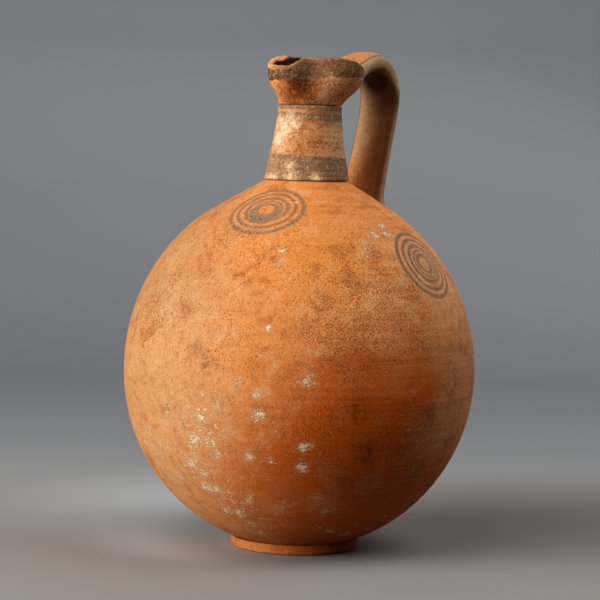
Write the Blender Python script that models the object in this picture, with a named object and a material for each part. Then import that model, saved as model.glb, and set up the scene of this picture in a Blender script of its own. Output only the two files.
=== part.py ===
# Trefoil jug: a wheel-thrown globular body on a low ring foot, a narrow flaring
# neck luted into the shoulder, a mouth pinched into three lobes, and one strap
# handle from the back of the rim down to the shoulder.
# Metres, +Z up. The origin is the middle of the foot, on the table.
# The handle stands at +X and the spout points to -X.
from math import atan2, cos, pi, radians, sin, sqrt

import bmesh
import bpy
from mathutils import Vector
from mathutils.geometry import interpolate_bezier

# Luting gap left between two pieces that are pressed together
LUTE_GAP = 0.0003

# Body, two half ellipses that meet at the belly, and a straight cone to the neck
BELLY_RADIUS = 0.088
BELLY_HEIGHT = 0.089
SHOULDER_RISE = 0.0937
CONE_RADIUS = 0.043
BODY_WALL = 0.005
FLOOR_HEIGHT = 0.0035
FLOOR_RADIUS = 0.026

# Ring foot
FOOT_RADIUS = 0.032
FOOT_RIM_WIDTH = 0.0095
FOOT_EDGE = 0.0014

# Neck
NECK_FOOT_RADIUS = 0.0213
NECK_TOP_RADIUS = 0.0158
NECK_LENGTH = 0.037
NECK_WALL = 0.0035
NECK_FLARE_POWER = 1.45
NECK_OVERHANG = 0.0008
NECK_FOOT_LIP = 0.0007
NECK_SEAT_WIDTH = 0.0022
NECK_SPIGOT_LENGTH = 0.008
NECK_SPIGOT_WALL = 0.003

# Mouth, seen from above: one spout circle, two side circles, a hollow where
# the fingers pinched it on each side, and a wide arc across the back
MOUTH_HEIGHT = 0.0224
MOUTH_FLARE_START = 1.6
MOUTH_FLARE_END = 3.4
MOUTH_STEP = 0.0003
MOUTH_SPIGOT_LENGTH = 0.004
LIP_WALL = 0.003
LIP_CROWN = 0.0006
SPOUT_REACH = 0.0263
SPOUT_RADIUS = 0.0105
SPOUT_DIP = 0.0041
SPOUT_DIP_LENGTH = 0.0078
SPOUT_DIP_BACK = 0.002
LOBE_OFFSET = 0.007
LOBE_SPACING = 0.023
LOBE_RADIUS = 0.0136
PINCH_RADIUS = 0.0045
BACK_RADIUS = 0.045

# Handle, a strap of flattened oval section
HANDLE_WIDTH = 0.0236
HANDLE_THICKNESS = 0.0085
HANDLE_SQUARENESS = 2.5
HANDLE_CROWN_RISE = 0.0051
HANDLE_CROWN_REACH = 0.0385
HANDLE_REACH = 0.0555
HANDLE_BEND_DROP = 0.0185
HANDLE_ROOT_REACH = 0.0415
HANDLE_ROOT_SLOPE = 0.15
HANDLE_ROOT_DEPTH = 0.006
HANDLE_ROOT_PULL = 0.019
HANDLE_BEND_PULL = 1.2
HANDLE_SPREAD = 0.3
HANDLE_SPREAD_AT_RIM = 0.17
HANDLE_SPREAD_AT_ROOT = 0.25
HANDLE_LIP_LAP = 0.0018
ROUND_PULL = 0.55

# Fineness of the facets
TURNS = 60
ARC_STEPS = 10
FOOT_SEAT_STEPS = 4
NECK_STEPS = 8
MOUTH_STEPS = 7
OUTLINE_STEPS = 12
ROUTE_STEPS = 13
SECTION_STEPS = 20

MERGE_DISTANCE = 1e-6


def clear_scene():
    for item in list(bpy.data.objects):
        bpy.data.objects.remove(item, do_unlink=True)


# Heights worked out from the sizes above

def shoulder_height(radius, grow=0.0):
    """Height of the body's outer skin above the belly, at a distance from the axis."""
    reach = BELLY_RADIUS + grow
    rise = SHOULDER_RISE + grow
    round_radius = max(radius, CONE_RADIUS)
    height = rise * sqrt(1 - (round_radius / reach) ** 2)
    slope = (rise / reach) ** 2 * round_radius / height
    return BELLY_HEIGHT + height + slope * (round_radius - radius)


def underside_depth():
    """Lower half height of the round form that runs through the flat floor's edge."""
    return (BELLY_HEIGHT - FLOOR_HEIGHT) / sqrt(1 - (FLOOR_RADIUS / BELLY_RADIUS) ** 2)


def underside_height(radius, grow=0.0):
    """Height of the body's outer skin below the belly, at a distance from the axis."""
    depth = underside_depth() + grow
    return BELLY_HEIGHT - depth * sqrt(1 - (radius / (BELLY_RADIUS + grow)) ** 2)


def seat_radius():
    return NECK_FOOT_RADIUS - NECK_OVERHANG


def seat_height():
    return shoulder_height(seat_radius())


def neck_base():
    return seat_height() + LUTE_GAP


def mouth_base():
    return neck_base() + NECK_LENGTH + LUTE_GAP


def rim_height():
    return mouth_base() + MOUTH_HEIGHT


# Shapes

def ellipse_arc(radius, semi_height, start, end, steps):
    """Points (r, z) about the belly's middle, between two angles in degrees."""
    points = []
    for step in range(steps + 1):
        angle = radians(start + (end - start) * step / steps)
        points.append((radius * cos(angle), BELLY_HEIGHT + semi_height * sin(angle)))
    return points


def arc_angle(radius, full_radius):
    """Angle in degrees at which an ellipse arc has come in to a radius."""
    return atan2(sqrt(full_radius ** 2 - radius ** 2), radius) * 180 / pi


def mesh_object(name, bm, material, smooth_angle=35):
    bmesh.ops.recalc_face_normals(bm, faces=bm.faces)
    mesh = bpy.data.meshes.new(name)
    bm.to_mesh(mesh)
    bm.free()
    mesh.shade_smooth()
    mesh.set_sharp_from_angle(angle=radians(smooth_angle))
    item = bpy.data.objects.new(name, mesh)
    bpy.context.scene.collection.objects.link(item)
    if material:
        mesh.materials.append(material)
    return item


def turned(name, profile, material=None, closed=False):
    """Turn a profile of (r, z) points round the axis, as on a wheel."""
    bm = bmesh.new()
    verts = [bm.verts.new((radius, 0, height)) for radius, height in profile]
    ends = list(zip(verts, verts[1:]))
    if closed:
        ends.append((verts[-1], verts[0]))
    edges = [bm.edges.new(pair) for pair in ends]
    bmesh.ops.spin(bm, geom=verts + edges, cent=(0, 0, 0), axis=(0, 0, 1), dvec=(0, 0, 0),
                   angle=2 * pi, steps=TURNS, use_merge=True, use_normal_flip=False, use_duplicate=False)
    bmesh.ops.remove_doubles(bm, verts=bm.verts, dist=MERGE_DISTANCE)
    return mesh_object(name, bm, material)


def first_ring(bm, points):
    """A closed loop of edges through the points, with its corners in order."""
    verts = [bm.verts.new(point) for point in points]
    edges = [bm.edges.new((verts[i - 1], verts[i])) for i in range(len(verts))]
    return verts, edges


def next_ring(bm, verts, edges, points):
    """Extrude a ring and move each new corner to its point."""
    geometry = bmesh.ops.extrude_edge_only(bm, edges=edges)["geom"]
    fresh = {item for item in geometry if isinstance(item, bmesh.types.BMVert)}
    moved = []
    for vert, point in zip(verts, points):
        corner = next(edge.other_vert(vert) for edge in vert.link_edges if edge.other_vert(vert) in fresh)
        corner.co = point
        moved.append(corner)
    between = [edge for edge in geometry if isinstance(edge, bmesh.types.BMEdge)]
    return moved, [edge for edge in between if set(edge.verts) <= fresh]


def lofted(name, rings, material=None, closed=False):
    """Skin a list of rings that have the same number of points."""
    bm = bmesh.new()
    verts, edges = first_ring(bm, rings[0])
    ends = list(edges)
    for ring in rings[1:] + (rings[:1] if closed else []):
        verts, edges = next_ring(bm, verts, edges, ring)
    if closed:
        bmesh.ops.remove_doubles(bm, verts=bm.verts, dist=MERGE_DISTANCE)
    else:
        bmesh.ops.holes_fill(bm, edges=ends + edges)
    return mesh_object(name, bm, material)


def cut(item, cutter):
    """Take a neighbour's form out of a piece, and keep the neighbour's form as a guide."""
    boolean = item.modifiers.new("seat on " + cutter.name, "BOOLEAN")
    boolean.operation = "DIFFERENCE"
    boolean.solver = "EXACT"
    boolean.object = cutter
    cutter.hide_render = True
    cutter.display_type = "WIRE"


# Clay and slip

def clay(name, colour, roughness):
    material = bpy.data.materials.new(name)
    material.use_nodes = True
    shader = material.node_tree.nodes["Principled BSDF"]
    shader.inputs["Base Color"].default_value = (*colour, 1)
    shader.inputs["Roughness"].default_value = roughness
    shader.inputs["Metallic"].default_value = 0
    return material


def make_materials():
    return {
        "foot": clay("bare_orange_clay", (0.42, 0.17, 0.07), 0.85),
        "body": clay("orange_slip", (0.62, 0.27, 0.1), 0.62),
        "neck": clay("worn_orange_slip", (0.52, 0.24, 0.11), 0.7),
        "mouth": clay("brown_banded_slip", (0.3, 0.16, 0.08), 0.7),
        "handle": clay("brown_orange_slip", (0.4, 0.19, 0.08), 0.66),
    }


# Body and foot

def body_skin(grow=0.0):
    """The outer profile from the flat floor's edge to the neck's seat."""
    start = -arc_angle(FLOOR_RADIUS, BELLY_RADIUS)
    end = arc_angle(CONE_RADIUS, BELLY_RADIUS)
    lower = ellipse_arc(BELLY_RADIUS + grow, underside_depth() + grow, start, 0, ARC_STEPS)
    upper = ellipse_arc(BELLY_RADIUS + grow, SHOULDER_RISE + grow, 0, end, ARC_STEPS)
    return lower + upper[1:]


def body_opening_radius():
    return seat_radius() - NECK_SEAT_WIDTH


def make_body(material):
    inner_radius = BELLY_RADIUS - BODY_WALL
    inner_depth = BELLY_HEIGHT - FLOOR_HEIGHT - BODY_WALL
    inner_rise = SHOULDER_RISE - BODY_WALL
    opening = body_opening_radius()
    top_angle = arc_angle(opening, inner_radius)
    cavity_top = ellipse_arc(inner_radius, inner_rise, top_angle, 0, ARC_STEPS)
    cavity_bottom = ellipse_arc(inner_radius, inner_depth, 0, -90, ARC_STEPS)
    profile = [(0, FLOOR_HEIGHT)] + body_skin()
    profile += [(seat_radius(), seat_height()), (opening, seat_height())]
    profile += cavity_top + cavity_bottom[1:-1] + [(0, cavity_bottom[-1][1])]
    return turned("body", profile, material)


def make_body_guide():
    """The body's outer form, a luting gap larger all round."""
    top = (seat_radius(), seat_height() + LUTE_GAP)
    profile = [(0, FLOOR_HEIGHT)] + body_skin(LUTE_GAP) + [top, (0, top[1])]
    return turned("body_guide", profile)


def make_foot_ring(material):
    """A low ring whose top is dished to the body's round underside."""
    inner = FOOT_RADIUS - FOOT_RIM_WIDTH
    seat = []
    for step in range(FOOT_SEAT_STEPS + 1):
        radius = FOOT_RADIUS - FOOT_RIM_WIDTH * step / FOOT_SEAT_STEPS
        height = max(underside_height(radius, LUTE_GAP), FLOOR_HEIGHT) - LUTE_GAP
        seat.append((radius, height))
    edge_low = (FOOT_RADIUS, FOOT_EDGE)
    profile = [(inner, 0), (FOOT_RADIUS - FOOT_EDGE, 0), edge_low] + seat
    return turned("foot_ring", profile, material, closed=True)


# Neck

def neck_radius(share):
    """Outer radius at a share of the neck's length, from foot to top."""
    return NECK_TOP_RADIUS + (NECK_FOOT_RADIUS - NECK_TOP_RADIUS) * (1 - share) ** NECK_FLARE_POWER


def joint_radius():
    """Where the neck's rebate and the mouth's spigot meet, half way through the wall."""
    return NECK_TOP_RADIUS - NECK_WALL / 2


def neck_bore():
    return NECK_TOP_RADIUS - NECK_WALL


def make_neck(material):
    base = neck_base()
    top = base + NECK_LENGTH
    spigot_radius = body_opening_radius() - LUTE_GAP
    spigot_bottom = base - NECK_SPIGOT_LENGTH
    rebate_floor = top - MOUTH_SPIGOT_LENGTH - LUTE_GAP
    outer = [(spigot_radius, spigot_bottom), (spigot_radius, base), (NECK_FOOT_RADIUS, base)]
    for step in range(NECK_STEPS + 1):
        share = step / NECK_STEPS
        height = base + NECK_FOOT_LIP + (NECK_LENGTH - NECK_FOOT_LIP) * share
        outer.append((neck_radius(share), height))
    rebate = [(joint_radius(), top), (joint_radius(), rebate_floor), (neck_bore(), rebate_floor)]
    bore_foot = (spigot_radius - NECK_SPIGOT_WALL, spigot_bottom)
    return turned("neck", outer + rebate + [bore_foot], material, closed=True)


# Mouth

def pinch_centre(spout, lobe):
    """Centre of the round hollow that touches the spout's and the lobe's circles."""
    gap = lobe - spout
    near = SPOUT_RADIUS + PINCH_RADIUS
    far = LOBE_RADIUS + PINCH_RADIUS
    along = (near ** 2 - far ** 2 + gap.length ** 2) / (2 * gap.length)
    across = sqrt(near ** 2 - along ** 2)
    unit = gap.normalized()
    return spout + unit * along + Vector((-unit.y, unit.x)) * across


def back_centre(lobe):
    """Centre of the wide back arc, which holds both side circles."""
    return Vector((lobe.x - sqrt((BACK_RADIUS - LOBE_RADIUS) ** 2 - lobe.y ** 2), 0))


def arc(centre, radius, start, end):
    """Points on an arc, without its last one."""
    points = []
    for step in range(OUTLINE_STEPS):
        angle = start + (end - start) * step / OUTLINE_STEPS
        points.append(centre + radius * Vector((cos(angle), sin(angle))))
    return points


def trefoil(inset=0.0):
    """The rim from above, moved in by a wall: back arc, lobe, pinch and spout, mirrored."""
    spout = Vector((SPOUT_RADIUS - SPOUT_REACH, 0))
    lobe = Vector((LOBE_OFFSET, LOBE_SPACING / 2))
    pinch = pinch_centre(spout, lobe)
    back = back_centre(lobe)
    to_lobe = lobe - back
    back_end = atan2(to_lobe.y, to_lobe.x)
    to_pinch = pinch - lobe
    lobe_end = atan2(to_pinch.y, to_pinch.x) % (2 * pi)
    from_spout = pinch - spout
    spout_start = atan2(from_spout.y, from_spout.x)
    half = arc(back, BACK_RADIUS - inset, 0, back_end)
    half += arc(lobe, LOBE_RADIUS - inset, back_end, lobe_end)
    half += arc(pinch, PINCH_RADIUS + inset, lobe_end - pi, spout_start - pi)
    half += arc(spout, SPOUT_RADIUS - inset, spout_start, pi)
    tip = Vector((inset - SPOUT_REACH, 0))
    mirrored = [Vector((point.x, -point.y)) for point in half[:0:-1]]
    return half + [tip] + mirrored


def spout_dip(x):
    """How far the rim has come down, from nothing behind the spout to just behind its tip."""
    from_tip = x + SPOUT_REACH
    share = 1 - (from_tip - SPOUT_DIP_BACK) / SPOUT_DIP_LENGTH
    share = min(max(share, 0), 1)
    return SPOUT_DIP * share * share * (3 - 2 * share)


def mouth_ring(share, inset=0.0, grow=0.0, lift=0.0):
    """One level of the mouth, from the round neck (0) to the trefoil rim (1)."""
    outline = trefoil(inset - grow)
    spread = 1 - (1 - share ** MOUTH_FLARE_START) ** MOUTH_FLARE_END
    round_radius = NECK_TOP_RADIUS + MOUTH_STEP + grow - (NECK_WALL + MOUTH_STEP) * (inset / LIP_WALL)
    points = []
    for place in outline:
        circle = place.normalized() * round_radius
        flat = circle.lerp(place, spread)
        height = (MOUTH_HEIGHT - spout_dip(place.x)) * share
        points.append((flat.x, flat.y, mouth_base() + height + lift))
    return points


def plain_ring(radius, height):
    """A round ring whose points stand at the same angles as the trefoil's."""
    ring = []
    for place in trefoil():
        flat = place.normalized() * radius
        ring.append((flat.x, flat.y, height))
    return ring


def make_trefoil_mouth(material):
    base = mouth_base()
    spigot_radius = joint_radius() - LUTE_GAP
    spigot_bottom = base - LUTE_GAP - MOUTH_SPIGOT_LENGTH
    shares = [step / MOUTH_STEPS for step in range(MOUTH_STEPS + 1)]
    rings = [plain_ring(neck_bore(), spigot_bottom), plain_ring(spigot_radius, spigot_bottom)]
    rings += [plain_ring(spigot_radius, base)]
    rings += [mouth_ring(share) for share in shares]
    rings += [mouth_ring(1, inset=LIP_WALL / 2, lift=LIP_CROWN)]
    rings += [mouth_ring(share, inset=LIP_WALL) for share in reversed(shares)]
    return lofted("trefoil_mouth", rings, material, closed=True)


def make_mouth_guide():
    """The mouth's outer form, filled in and a luting gap larger all round."""
    shares = [step / MOUTH_STEPS for step in range(MOUTH_STEPS + 1)]
    rings = [mouth_ring(share, grow=LUTE_GAP) for share in shares]
    rings += [mouth_ring(1, inset=LIP_WALL / 2, lift=LIP_CROWN + LUTE_GAP)]
    return lofted("mouth_guide", rings)


# Handle

def rim_back():
    """The rim's outermost point at the back."""
    return max(place.x for place in trefoil())


def handle_points():
    """The strap's middle line, three curves between four places."""
    half = HANDLE_THICKNESS / 2
    crown_height = rim_height() + HANDLE_CROWN_RISE - half
    root = Vector((rim_back() - HANDLE_LIP_LAP, 0, rim_height() - half - HANDLE_CROWN_RISE / 2))
    crown = Vector((HANDLE_CROWN_REACH, 0, crown_height))
    bend = Vector((HANDLE_REACH - half, 0, crown_height - HANDLE_BEND_DROP))
    end = Vector((HANDLE_ROOT_REACH, 0, shoulder_height(HANDLE_ROOT_REACH)))
    lean = Vector((HANDLE_ROOT_SLOPE, 0, 1)).normalized()
    end -= lean * HANDLE_ROOT_DEPTH
    over = Vector((bend.x - crown.x, 0, 0)) * ROUND_PULL
    down = Vector((0, 0, HANDLE_BEND_DROP)) * ROUND_PULL
    near_end = end + lean * HANDLE_ROOT_PULL
    first = interpolate_bezier(root, (root + crown) / 2, crown - over, crown, ROUTE_STEPS)
    second = interpolate_bezier(crown, crown + over, bend + down, bend, ROUTE_STEPS)
    third = interpolate_bezier(bend, bend - down * HANDLE_BEND_PULL, near_end, end, ROUTE_STEPS)
    return first + second[1:] + third[1:]


def strap_section(centre, along, width, thickness):
    """A flattened oval across the strap's middle line."""
    outward = Vector((along.z, 0, -along.x))
    ring = []
    for step in range(SECTION_STEPS):
        angle = 2 * pi * step / SECTION_STEPS
        side = abs(cos(angle)) ** (2 / HANDLE_SQUARENESS) * (1 if cos(angle) >= 0 else -1)
        face = abs(sin(angle)) ** (2 / HANDLE_SQUARENESS) * (1 if sin(angle) >= 0 else -1)
        ring.append(centre + Vector((0, side * width / 2, 0)) + outward * (face * thickness / 2))
    return ring


def handle_spread(share):
    """How much thicker the strap is where its two ends were pressed on, by share of its route."""
    at_rim = max(0, 1 - share / HANDLE_SPREAD_AT_RIM)
    at_root = max(0, 1 - (1 - share) / HANDLE_SPREAD_AT_ROOT)
    return 1 + HANDLE_SPREAD * (at_rim ** 2 + at_root ** 2)


def make_handle(material, guides):
    places = handle_points()
    last = len(places) - 1
    rings = []
    for i, centre in enumerate(places):
        along = (places[max(i - 1, 0)] - places[min(i + 1, last)]).normalized()
        spread = handle_spread(i / last)
        rings.append(strap_section(centre, along, HANDLE_WIDTH * sqrt(spread), HANDLE_THICKNESS * spread))
    handle = lofted("handle", rings, material)
    for guide in guides:
        cut(handle, guide)
    return handle


def build():
    clear_scene()
    materials = make_materials()
    make_foot_ring(materials["foot"])
    make_body(materials["body"])
    make_neck(materials["neck"])
    make_trefoil_mouth(materials["mouth"])
    guides = [make_mouth_guide(), make_body_guide()]
    make_handle(materials["handle"], guides)


build()
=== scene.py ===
from functools import reduce
from math import atan2, copysign, cos, degrees, exp, pi, radians, sin, sqrt

import bmesh
import bpy
import numpy as np
from mathutils import Matrix, Vector, noise
from mathutils.geometry import interpolate_bezier


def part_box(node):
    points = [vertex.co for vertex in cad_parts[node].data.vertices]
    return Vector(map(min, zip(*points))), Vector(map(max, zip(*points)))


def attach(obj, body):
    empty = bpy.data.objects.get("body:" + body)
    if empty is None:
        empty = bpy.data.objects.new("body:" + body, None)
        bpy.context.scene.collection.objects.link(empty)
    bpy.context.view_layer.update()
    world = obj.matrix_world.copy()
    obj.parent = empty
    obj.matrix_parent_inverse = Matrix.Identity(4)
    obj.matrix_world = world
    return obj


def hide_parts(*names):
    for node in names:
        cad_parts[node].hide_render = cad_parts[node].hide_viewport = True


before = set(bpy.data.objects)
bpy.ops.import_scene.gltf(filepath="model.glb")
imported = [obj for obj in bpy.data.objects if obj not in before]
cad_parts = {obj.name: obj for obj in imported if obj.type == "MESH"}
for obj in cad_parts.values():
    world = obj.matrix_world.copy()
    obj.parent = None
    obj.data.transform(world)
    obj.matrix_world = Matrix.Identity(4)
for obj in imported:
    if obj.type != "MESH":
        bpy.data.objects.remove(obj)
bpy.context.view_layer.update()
MM = 0.001

# Sizes that the solid pieces give
BODY_LOW, BODY_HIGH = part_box("body")
FOOT_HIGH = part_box("foot_ring")[1]
NECK_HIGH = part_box("neck")[1]
MOUTH_LOW, MOUTH_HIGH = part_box("trefoil_mouth")
HANDLE_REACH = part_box("handle")[1].x
LUTE_GAP = 0.3 * MM
BELLY_RADIUS = BODY_HIGH.x
FLOOR_HEIGHT = BODY_LOW.z
SEAT_HEIGHT = BODY_HIGH.z
NECK_BASE = SEAT_HEIGHT + LUTE_GAP
NECK_TOP = NECK_HIGH.z
MOUTH_BASE = NECK_TOP + LUTE_GAP
LIP_ROUND = 1.2 * MM
RIM_HEIGHT = MOUTH_HIGH.z - LIP_ROUND
MOUTH_HEIGHT = RIM_HEIGHT - MOUTH_BASE

# Body
BELLY_HEIGHT = 89 * MM
FLOOR_RADIUS = 26 * MM
SHOULDER_RISE = 93.7 * MM
CONE_RADIUS = 43 * MM
BODY_WALL = 5 * MM
SEAT_RADIUS = 20.5 * MM
SEAT_WIDTH = 2.2 * MM

# Foot ring
FOOT_RADIUS = FOOT_HIGH.x
FOOT_RIM_WIDTH = 9.5 * MM
FOOT_EDGE = 1.4 * MM
FOOT_INNER_EDGE = 0.6 * MM

# Neck
NECK_FOOT_RADIUS = NECK_HIGH.x
NECK_TOP_RADIUS = 15.8 * MM
NECK_FLARE_POWER = 1.45
NECK_FOOT_LIP = 0.7 * MM
NECK_WALL = 3.5 * MM
NECK_EDGE = 0.35 * MM
NECK_REACH = 32 * MM
SPIGOT_LENGTH = 8 * MM
SPIGOT_WALL = 3 * MM
MOUTH_SPIGOT_LENGTH = 4 * MM

# Mouth, seen from above: spout circle, two side circles, two pinched hollows and a wide back arc
FLARE_START = 1.6
FLARE_END = 3.4
MOUTH_STEP = 0.3 * MM
MOUTH_EDGE = 0.3 * MM
LIP_WALL = 3 * MM
SPOUT_REACH = -MOUTH_LOW.x
SPOUT_RADIUS = 9.6 * MM
SPOUT_LIP_SHARE = 0.6
SPOUT_THIN_FROM = 8 * MM
SPOUT_THIN_TO = 17 * MM
LOBE_CENTRE = Vector((5.8 * MM, 11.5 * MM))
LOBE_RADIUS = 14.2 * MM
PINCH_RADIUS = 5 * MM
BACK_RADIUS = 45 * MM

# How far the rim stands above or below its level, azimuth in degrees and level in millimetres: pressed
# down at one side of the spout and cut down at the back, where the handle lies over it
RIM_LEVELS = (
    (-180, -4.0), (-166, -4.4), (-159.5, -3.6), (-154, -2.1), (-149, -0.3), (-145, 0), (-92, 0),
    (-78, -1.0), (-66, -2.8), (-54, -4.7), (-42, -6), (20, -6), (32, -3.5), (48, 0.2), (60, 1.7), (82, 1.5),
    (110, 0.6), (138, 1.2), (148, 0.6), (153, -0.5), (160, -2.6), (168, -3.7), (180, -4.0),
)

# How the rim has worn: the share of the way up where it starts, where it grows toward the spout, how
# much grain and how many chips there are away from the spout, and the chips themselves
WEAR_START = 0.8
SPOUT_WEAR_START = -10 * MM
SPOUT_WEAR_FULL = -18 * MM
PLAIN_GRAIN = 0.35
PLAIN_CHIPS = 0.3
CHIP_DEPTH = 1.1 * MM
CHIPS_PER_METRE = 170
CHIP_RARITY = 0.25
WEAR_INWARD = 0.6

# Handle strap
HANDLE_WIDTH = 25.7 * MM
HANDLE_THICKNESS = 8.5 * MM
HANDLE_SQUARENESS = 2.25
CROWN_RISE = 6.3 * MM
CROWN_REACH = 38.5 * MM
BEND_DROP = 18.5 * MM
ROOT_REACH = 41.5 * MM
ROOT_SLOPE = 0.15
ROOT_DEPTH = 5 * MM
ROOT_PULL = 19 * MM
BEND_PULL = 0.75
ROUND_PULL = 0.55
LIP_LAP = 3.2 * MM
ROOT_TOP_DROP = 1.6 * MM
CROWN_THICKENING = 3.6 * MM
CROWN_SPAN = 15 * MM
END_ROUND = 2.5 * MM
FLARE_AT_RIM = 0.17
FLARE_AT_ROOT = 0.25
FLARE = 0.3
WIDTH_FLARE_POWER = 0.25
FILLET = 2.4 * MM
FILLET_LENGTH = 3.5 * MM
FILLET_AT_RIM = 0.6

# The neck was set a little askew: it and the mouth stand off to one side, and the handle follows
LEAN_DIRECTION = Vector((1, -1, 0)).normalized()
LEAN_START = 160 * MM
LEAN_AT_NECK = 1.1 * MM
LEAN_AT_MOUTH = 2.05 * MM
HANDLE_LEAN_START = 170 * MM
HANDLE_LEAN_END = 235 * MM

# Unevenness of the clay: layers of noise, each a height and how many lumps there are in a metre
BODY_SWELL = ((0.22 * MM, 14),)
FOOT_GRAIN = ((0.2 * MM, 180), (0.25 * MM, 40))
NECK_GRAIN = ((0.18 * MM, 45), (0.05 * MM, 260))
MOUTH_GRAIN = ((0.14 * MM, 70), (0.05 * MM, 300))
MOUTH_GRAIN_FULL = 0.1
LIP_GRAIN = ((0.22 * MM, 420), (0.12 * MM, 900))
STRAP_GRAIN = ((0.18 * MM, 60),)
STRAP_SIDE_GRAIN = ((0.25 * MM, 38),)

# Ridges from the potter's fingers
BODY_RIDGE_DEPTH = 0.06 * MM
BODY_RIDGE_PITCH = 4.6 * MM
BODY_RIDGE_PATCHES_PER_METRE = 30
NECK_RIDGE_DEPTH = 0.05 * MM
NECK_RIDGE_PITCH = 2.7 * MM

# Fineness of the meshes
BODY_TURNS = 384
BODY_STEPS = 96
CAVITY_STEPS = 16
NECK_TURNS = 288
NECK_STEPS = 84
BORE_STEPS = 12
MOUTH_ARC_STEPS = 44
MOUTH_STEPS = 56
LIP_STEPS = 10
THROAT_STEPS = 30
STRAP_TURNS = 96
ROUTE_STEPS = 84
THICKEST_STEP = ROUTE_STEPS * 6 // 5
END_STEPS = 6
FOOT_TURNS = 288
FOOT_STEPS = 6
MERGE_DISTANCE = 1e-6
SHARP_ANGLE = 50


# Heights and radii of the clay

def smooth(low, high, value):
    share = min(max((value - low) / (high - low), 0), 1)
    return share * share * (3 - 2 * share)


def underside_depth():
    return (BELLY_HEIGHT - FLOOR_HEIGHT) / sqrt(1 - (FLOOR_RADIUS / BELLY_RADIUS) ** 2)


def cone_slope():
    height = SHOULDER_RISE * sqrt(1 - (CONE_RADIUS / BELLY_RADIUS) ** 2)
    return (SHOULDER_RISE / BELLY_RADIUS) ** 2 * CONE_RADIUS / height


def shoulder_height(radius):
    """Height of the body's outer skin over its belly, at a radius."""
    round_radius = max(radius, CONE_RADIUS)
    height = SHOULDER_RISE * sqrt(1 - (round_radius / BELLY_RADIUS) ** 2)
    return BELLY_HEIGHT + height + cone_slope() * (round_radius - radius)


def underside_height(radius, grow):
    """Height of a skin under the belly at a radius, this much outside the body's own."""
    depth = underside_depth() + grow
    return BELLY_HEIGHT - depth * sqrt(1 - (radius / (BELLY_RADIUS + grow)) ** 2)


def body_radius(height):
    """Radius of the body's outer skin at a height."""
    cone_height = shoulder_height(CONE_RADIUS)
    if height > cone_height:
        return CONE_RADIUS - (height - cone_height) / cone_slope()
    rise = SHOULDER_RISE if height > BELLY_HEIGHT else underside_depth()
    return BELLY_RADIUS * sqrt(max(0, 1 - ((height - BELLY_HEIGHT) / rise) ** 2))


def polar(radius, azimuth, height):
    """The place at a radius, an azimuth in radians and a height."""
    return Vector((radius * cos(azimuth), radius * sin(azimuth), height))


def on_body(azimuth, height):
    """The place on the body's skin at an azimuth in degrees and a height."""
    return polar(body_radius(height), radians(azimuth), height)


def near_neck(azimuth, height):
    """A place a little outside the neck or the mouth, at an azimuth in degrees and a height."""
    return polar(NECK_REACH, radians(azimuth), height)


def lean(height):
    """How far the clay stands to the side at a height."""
    if height < NECK_BASE:
        return LEAN_DIRECTION * LEAN_AT_NECK * smooth(LEAN_START, NECK_BASE, height)
    share = min(1, (height - NECK_BASE) / (MOUTH_BASE - NECK_BASE))
    return LEAN_DIRECTION * (LEAN_AT_NECK + (LEAN_AT_MOUTH - LEAN_AT_NECK) * share)


def handle_lean(height):
    share = (height - HANDLE_LEAN_START) / (HANDLE_LEAN_END - HANDLE_LEAN_START)
    return LEAN_DIRECTION * LEAN_AT_MOUTH * min(max(share, 0), 1)


# Meshes

def uneven(place, layers):
    """How far the clay stands out at a place, by layers of noise."""
    return sum(height * noise.noise(place * pitch) for height, pitch in layers)


def ridge(azimuth, height, depth, pitch):
    """The spiral ridge that throwing leaves."""
    return depth * sin(2 * pi * height / pitch + azimuth)


def skin(rings, loop=True, marks=None):
    """A closed skin through rings of places: a grid is wrapped round, and its corners go to the places."""
    count = len(rings[0])
    rows = len(rings) if loop else len(rings) - 1
    bm = bmesh.new()
    bmesh.ops.create_grid(bm, x_segments=count, y_segments=rows, size=0.5)
    layers = {name: bm.verts.layers.float.new(name) for name in (marks or {})}
    for vert in bm.verts:
        row = round((vert.co.y + 0.5) * rows) % len(rings)
        turn = round((vert.co.x + 0.5) * count) % count
        vert.co = rings[row][turn]
        for name, layer in layers.items():
            vert[layer] = marks[name](row, turn)
    bmesh.ops.remove_doubles(bm, verts=bm.verts, dist=MERGE_DISTANCE)
    bmesh.ops.recalc_face_normals(bm, faces=bm.faces)
    return bm


def round_rings(profile, turns, offset=None):
    """Rings for a turned profile of (radius, height), each place moved out by a small offset."""
    rings = []
    for radius, height in profile:
        side = lean(height)
        ring = []
        for turn in range(turns):
            azimuth = 2 * pi * turn / turns
            reach = radius + (offset(azimuth, radius, height) if offset and radius > 0 else 0)
            ring.append(polar(reach, azimuth, height) + side)
        rings.append(ring)
    return rings


def arc_profile(radius, semi_height, start, end, steps):
    """Points (r, z) of an ellipse about the belly's middle, between two angles in radians."""
    angles = [start + (end - start) * step / steps for step in range(steps + 1)]
    return [(radius * cos(angle), BELLY_HEIGHT + semi_height * sin(angle)) for angle in angles]


def line_profile(start, end, steps):
    """Points on a straight line, without its first one."""
    points = []
    for step in range(1, steps + 1):
        share = step / steps
        points.append((start[0] + (end[0] - start[0]) * share, start[1] + (end[1] - start[1]) * share))
    return points


def in_scene(name, data):
    """A new object that shows this data."""
    piece = bpy.data.objects.new(name, data)
    bpy.context.scene.collection.objects.link(piece)
    return piece


def smooth_object(name, bm, material):
    mesh = bpy.data.meshes.new(name)
    bm.to_mesh(mesh)
    bm.free()
    mesh.shade_smooth()
    mesh.materials.append(material)
    return in_scene(name, mesh)


def finished(name, bm, material, node):
    """Make the object, hide the plain solid that it stands for and ride it on the jug."""
    piece = smooth_object(name, bm, material)
    piece.data.set_sharp_from_angle(angle=radians(SHARP_ANGLE))
    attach(piece, "root")
    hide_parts(node)
    return piece


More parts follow.
